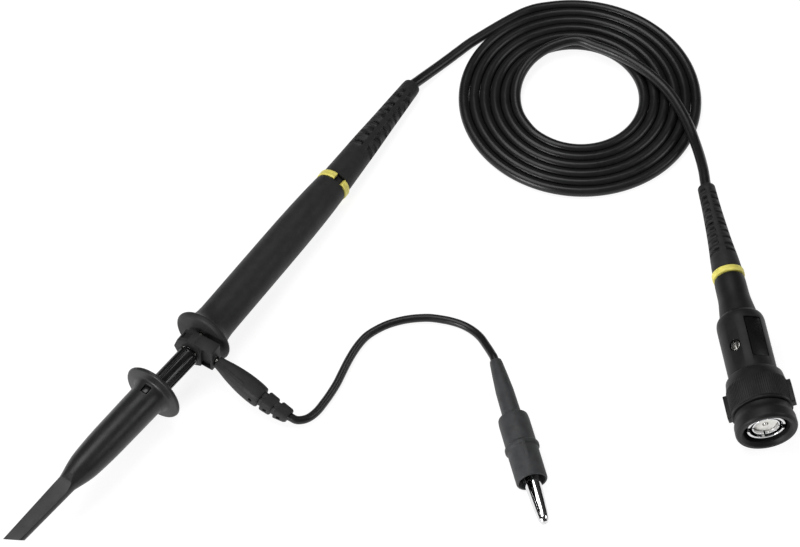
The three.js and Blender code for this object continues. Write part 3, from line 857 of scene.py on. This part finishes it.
def make_clip_jaw(name, node, middle, rear):
    outline = [(rear, 2), (rear, 2.5, 0.12), (42.7, 2.5), (50, 2.1), (54, 1.78), (55.6, 1.55, 0.4),
               (56.8, 0.9, 0.3), (56.8, 0.2), (55.2, 0.2), (54.6, 1.15), (50, 1.6), (42.7, 2), (rear, 2)]
    half = math.radians(87)
    jaw = open_ring(name, soft(outline, 0), middle - half, middle + half, 48)
    bow = prism([(rear - 1, 1.1), (44, 0.9), (50.5, 0.12), (50.5, -0.12), (44, -0.9), (rear - 1, -1.1)], -4, 4)
    turn = Matrix.Rotation(math.radians(45), 4, "Y")
    teeth = [moved(box(-0.3, 0.3, -4, 4, -0.3, 0.3), Matrix.Translation((48.6 + 1.1 * k, 0, 0)) @ turn)
             for k in range(5)]
    carve(jaw, bow, *teeth)
    put(ease_edges(jaw, 0.06, 2, 40), node, CLIP)


def make_clip():
    make_clip_boot()
    make_clip_jaw("fixed_jaw", "clip_fixed_jaw", 0, CLIP_PIVOT - 6)
    make_clip_jaw("moving_jaw", "clip_moving_jaw", math.pi, CLIP_PIVOT - 1.5)


make_collar()
make_lead_plug()
make_clip()


# ---- plug unit ----

PANEL_ANGLE = math.radians(20)
TRIMMER_ANGLE = math.radians(-38)
TRIMMER_X = 61.7


def radial(piece, angle):
    """Turns a piece drawn about X to stand out from the unit's axis at the angle, over the trimmer."""
    turn = Matrix.Rotation(-angle, 4, "X") @ Matrix.Rotation(-math.pi / 2, 4, "Y")
    return moved(piece, Matrix.Translation((TRIMMER_X, 0, 0)) @ turn)


def make_plug_boot():
    outer = [tuple(p) for p in smooth_line(
        [(0.5, 2.7), (3, 2.76), (8, 2.9), (11, 3.03), (15, 3.25), (18, 3.42), (20.5, 3.6), (23, 3.8), (25, 4.0),
         (27, 4.2), (31.8, 4.55)], 1.5)]
    outline = [(0, 1.9), (0, 2.45, 0.4), *outer, (32.2, 4.5, 0.1), (32.2, 3.3), (24, 3.3), (24, 1.9), (0, 1.9)]
    boot = slotted_boot("plug_strain_relief", soft(outline, 0), 3.2, 2.52, 10, 1.05, 0.6,
                        math.radians(-7.5), math.radians(11.25))
    put(boot, "boot_plug", PLUG)
    put(turned("plug_marker_ring", marker_section(32.5, 34.5, 4.95, 3.3), 96), "marker_ring_plug", PLUG)


def make_box():
    neck = [(24.5, 2.2), (24.5, 2.95), (34.8, 2.95), (34.8, 4.5, 0.3),
            *[tuple(p) for p in smooth_line([(35.6, 4.68), (37, 4.75), (42, 4.85), (45, 5.2), (49, 5.75)], 1)],
            (49, 2.2), (24.5, 2.2)]
    put(turned("neck", soft(neck, 0), 96), "flared_neck", PLUG)
    outline = [(49.3, 2.3), (49.3, 6.3, 0.4), (50.2, 7, 0.7), (51.6, 7.3, 0.7), (70.4, 7.3, 0.2), (70.4, 6.8), (68.6, 6.8), (68.6, 5.7),
               (50.6, 5.7), (50.6, 2.3), (49.3, 2.3)]
    shell = turned("box", soft(outline, 0, 6), 128)
    seat = ease_edges(box(53, 67, -2.8, 2.8, 6.2, 9), 0.5, 3)
    moved(seat, Matrix.Rotation(-PANEL_ANGLE, 4, "X"))
    hole = radial(turned("hole", [(4, 0), (4, 1.85), (9, 1.85), (9, 0)], 48), TRIMMER_ANGLE)
    carve(shell, seat, hole)
    put(ease_edges(shell, 0.12, 2, 40), "compensation_box", PLUG)
    panel = ease_edges(box(53.3, 66.7, -2.4, 2.4, 6.5, 6.8), 0.08, 2)
    panel.name = "panel"
    put(moved(panel, Matrix.Rotation(-PANEL_ANGLE, 4, "X")), "plain_panel", PLUG)
    screw = turned("screw", soft([(5.3, 0), (5.3, 1.5), (6.95, 1.5, 0.2), (6.95, 0)], 0), 48)
    carve(screw, box(6.3, 7.5, -0.25, 0.25, -2, 2))
    put(radial(ease_edges(screw, 0.05), TRIMMER_ANGLE), "trimmer_screw", PLUG)


def make_connector():
    body = [(68.9, 3.6), (68.9, 6.5), (70.4, 6.5), (70.4, 4.6), (79.5, 4.6), (79.5, 3.6), (68.9, 3.6)]
    put(turned("body", body, 64), "plug_body", PLUG)
    sleeve = turned("contact", tube_outline(79.8, 87.4, 4.15, 3.7, 0.2), 96)
    carve(sleeve, box(82, 90, -0.25, 0.25, -5, 5), box(82, 90, -5, 5, -0.25, 0.25))
    put(ease_edges(sleeve, 0.06, 2, 40), "contact_sleeve", PLUG)
    put(turned("insulator", tube_outline(72, 86.4, 3.5, 0.95, 0.2), 64), "plug_insulator", PLUG)
    pin = [(70, 0), (70, 0.65), (86.2, 0.65, 0.3), (86.8, 0.3, 0.2), (86.8, 0)]
    put(turned("pin", soft(pin, 0), 32), "centre_pin", PLUG)
    put(turned("gasket", tube_outline(80, 81, 4.75, 4.4, 0.1), 64), "plug_gasket", PLUG)
    nut_outline = [(71.7, 4.95), (71.7, 6.6, 0.2), (73.2, 6.6, 0.2), (73.2, 5.75), (87.8, 5.75, 0.15),
                   (87.8, 4.95, 0.2), (71.7, 4.95)]
    nut = turned("nut", soft(nut_outline, 0), 128)
    carve(nut, box(85.5, 89, -7, 7, -1.1, 1.1))
    put(ease_edges(nut, 0.08, 2, 40), "bayonet_nut", PLUG)


KNURLS = 92


def make_grip():
    def knurl(x, radius, angle):
        return 0.08 * math.cos(KNURLS * angle) if radius > 9.05 and 74.2 < x < 81.6 else 0

    outline = [(70.7, 6.9), (70.7, 8.0), (70.9, 8.3), (71.3, 8.6), (73.6, 8.95), (74, 9.02), (74.3, 9.1),
               (81.5, 9.1), (81.7, 9), (81.8, 8.9), (82, 9.15), (82.45, 9.15), (82.6, 9), (82.6, 6.9), (70.7, 6.9)]
    grip = turned("grip", outline, KNURLS * 6, knurl)
    for side in (1, -1):
        inner, outer = sorted((side * 8.2, side * 10.2))
        wing = ease_edges(box(74.5, 82.2, inner, outer, -1.5, 1.5), 0.25, 3)
        weld(grip, moved(wing, Matrix.Rotation(math.radians(16), 4, "X")))
    put(grip, "knurled_grip", PLUG)
    skirt = [(82.9, 6.1), (82.9, 8.5, 0.15), (84.2, 8.55, 0.6), (85.8, 9.2, 0.7), (88.6, 9.25, 0.5),
             (89.4, 8.75, 0.3), (89.4, 7.7, 0.15), (88.4, 6.85, 0.2), (84, 6.85), (84, 6.1), (82.9, 6.1)]
    put(turned("skirt", soft(skirt, 0, 6), 128), "front_skirt", PLUG)


make_plug_boot()
make_box()
make_connector()
make_grip()
